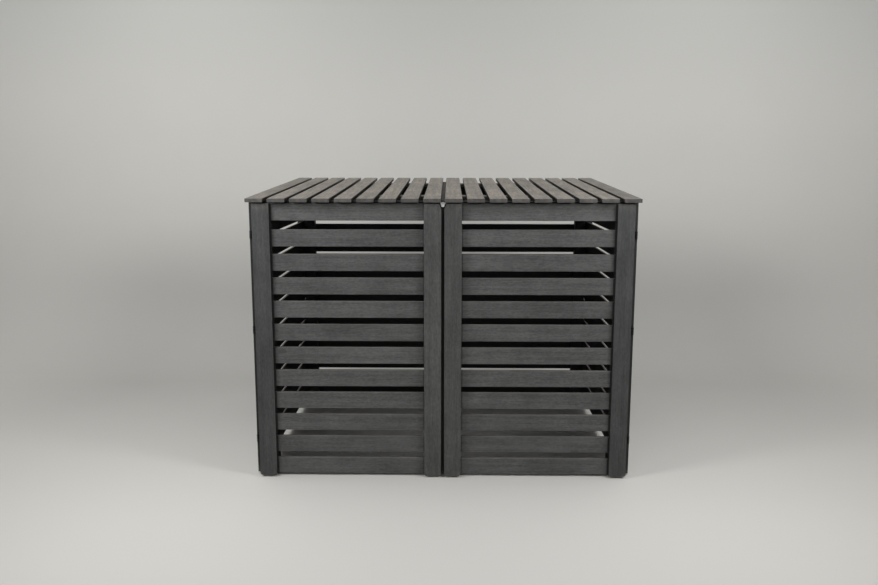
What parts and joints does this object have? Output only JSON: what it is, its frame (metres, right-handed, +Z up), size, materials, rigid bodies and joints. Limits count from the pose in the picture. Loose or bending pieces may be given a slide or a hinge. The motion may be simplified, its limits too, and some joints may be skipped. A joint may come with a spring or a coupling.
{
  "type": "wheelie bin store",
  "caption": "Slatted timber store for wheeled bins side by side: hinged slatted front doors, sloping slatted lids hinged at the rear, boarded sides and rear",
  "frame": {"origin": "on the ground, at the middle of the store's width and of the lids' depth", "axes": "+X to the right along the doors, +Y from the doors to the rear, +Z up"},
  "size_m": [1.52, 1.1616, 1.1791],
  "materials": {
    "boards": "dark grey paint, matt, over planed softwood",
    "lid_boards": "dark grey paint, matt, over planed softwood",
    "hinge_metal": "black, satin",
    "catch_metal": "bright zinc plate",
    "screws": "dull zinc plate"
  },
  "bodies": {
    "frame": {"left_front_post": "boards", "right_front_post": "boards", "left_rear_post": "boards", "right_rear_post": "boards", "centre_front_post": "boards", "centre_rear_post": "boards", "front_top_rail": "boards", "rear_top_rail": "boards", "centre_top_rail": "boards", "left_side_boards": "boards", "right_side_boards": "boards", "left_side_stiles": "boards", "right_side_stiles": "boards", "rear_boards": "boards", "catch_plate": "catch_metal", "frame_hinge_leaves": "hinge_metal", "hinge_pins": "hinge_metal", "frame_screws": "screws"},
    "left_door": {"left_door_slat_01": "boards", "left_door_slat_02": "boards", "left_door_slat_03": "boards", "left_door_slat_04": "boards", "left_door_slat_05": "boards", "left_door_slat_06": "boards", "left_door_slat_07": "boards", "left_door_slat_08": "boards", "left_door_slat_09": "boards", "left_door_slat_10": "boards", "left_door_slat_11": "boards", "left_door_slat_12": "boards", "left_door_outer_stile": "boards", "left_door_meeting_stile": "boards", "left_door_keeper": "catch_metal", "left_door_hinge_leaves": "hinge_metal", "left_door_screws": "screws"},
    "left_lid": {"left_lid_slats": "lid_boards", "left_lid_battens": "lid_boards", "left_lid_hinge_leaves": "hinge_metal", "left_lid_screws": "screws"},
    "right_door": {"right_door_slat_01": "boards", "right_door_slat_02": "boards", "right_door_slat_03": "boards", "right_door_slat_04": "boards", "right_door_slat_05": "boards", "right_door_slat_06": "boards", "right_door_slat_07": "boards", "right_door_slat_08": "boards", "right_door_slat_09": "boards", "right_door_slat_10": "boards", "right_door_slat_11": "boards", "right_door_slat_12": "boards", "right_door_outer_stile": "boards", "right_door_meeting_stile": "boards", "right_door_keeper": "catch_metal", "right_door_hinge_leaves": "hinge_metal", "right_door_screws": "screws"},
    "right_lid": {"right_lid_slats": "lid_boards", "right_lid_battens": "lid_boards", "right_lid_hinge_leaves": "hinge_metal", "right_lid_screws": "screws"}
  },
  "joints": [
    {"name": "left_door_hinge", "type": "hinge", "parent": "frame", "child": "left_door", "pos_m": [-0.7543, -0.52646, 0.605], "axis": [0, 0, -1], "range_deg": [0, 180]},
    {"name": "right_door_hinge", "type": "hinge", "parent": "frame", "child": "right_door", "pos_m": [0.7543, -0.52646, 0.605], "axis": [0, 0, 1], "range_deg": [0, 180]},
    {"name": "left_lid_hinge", "type": "hinge", "parent": "frame", "child": "left_lid", "pos_m": [-0.384, 0.5641, 1.15914], "axis": [-1, 0, 0], "range_deg": [0, 105]},
    {"name": "right_lid_hinge", "type": "hinge", "parent": "frame", "child": "right_lid", "pos_m": [0.384, 0.5641, 1.15914], "axis": [-1, 0, 0], "range_deg": [0, 105]}
  ]
}
